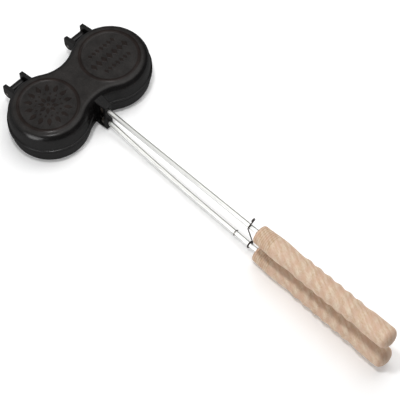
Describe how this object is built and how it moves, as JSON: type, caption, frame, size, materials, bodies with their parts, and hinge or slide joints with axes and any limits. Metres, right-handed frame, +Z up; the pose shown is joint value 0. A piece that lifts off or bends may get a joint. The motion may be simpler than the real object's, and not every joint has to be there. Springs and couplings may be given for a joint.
{
  "type": "double burger iron",
  "caption": "Hinged cast iron cooking mould with a pair of round cups, long steel rods with turned wooden handles, and a wire latch.",
  "frame": {"origin": "middle of the lower casting's flat underside, halfway between the two rounds", "axes": "X along the hinge line, -Y from the castings towards the handles, +Z up from the underside"},
  "size_m": [0.266, 0.7361, 0.1073],
  "materials": {
    "iron": "satin",
    "steel": "polished",
    "beech": "satin",
    "wire": "matte"
  },
  "bodies": {
    "base": {"lower_shell": "iron", "lower_rod": "steel", "lower_rod_nut": "steel", "lower_handle": "beech", "latch_stop": "wire"},
    "lid": {"upper_shell": "iron", "hinge_pins": "steel", "upper_rod": "steel", "upper_rod_nut": "steel", "upper_handle": "beech"},
    "latch": {"latch_hook": "wire"}
  },
  "joints": [
    {"name": "lid_hinge", "type": "hinge", "parent": "base", "child": "lid", "pos_m": [0, 0.078, 0.0362], "axis": [-1, 0, 0], "range_deg": [0, 170]},
    {"name": "latch_swing", "type": "hinge", "parent": "base", "child": "latch", "pos_m": [0, -0.37477, 0.01523], "axis": [0, -0.9995, 0.0332], "range_deg": [0, 100]}
  ]
}
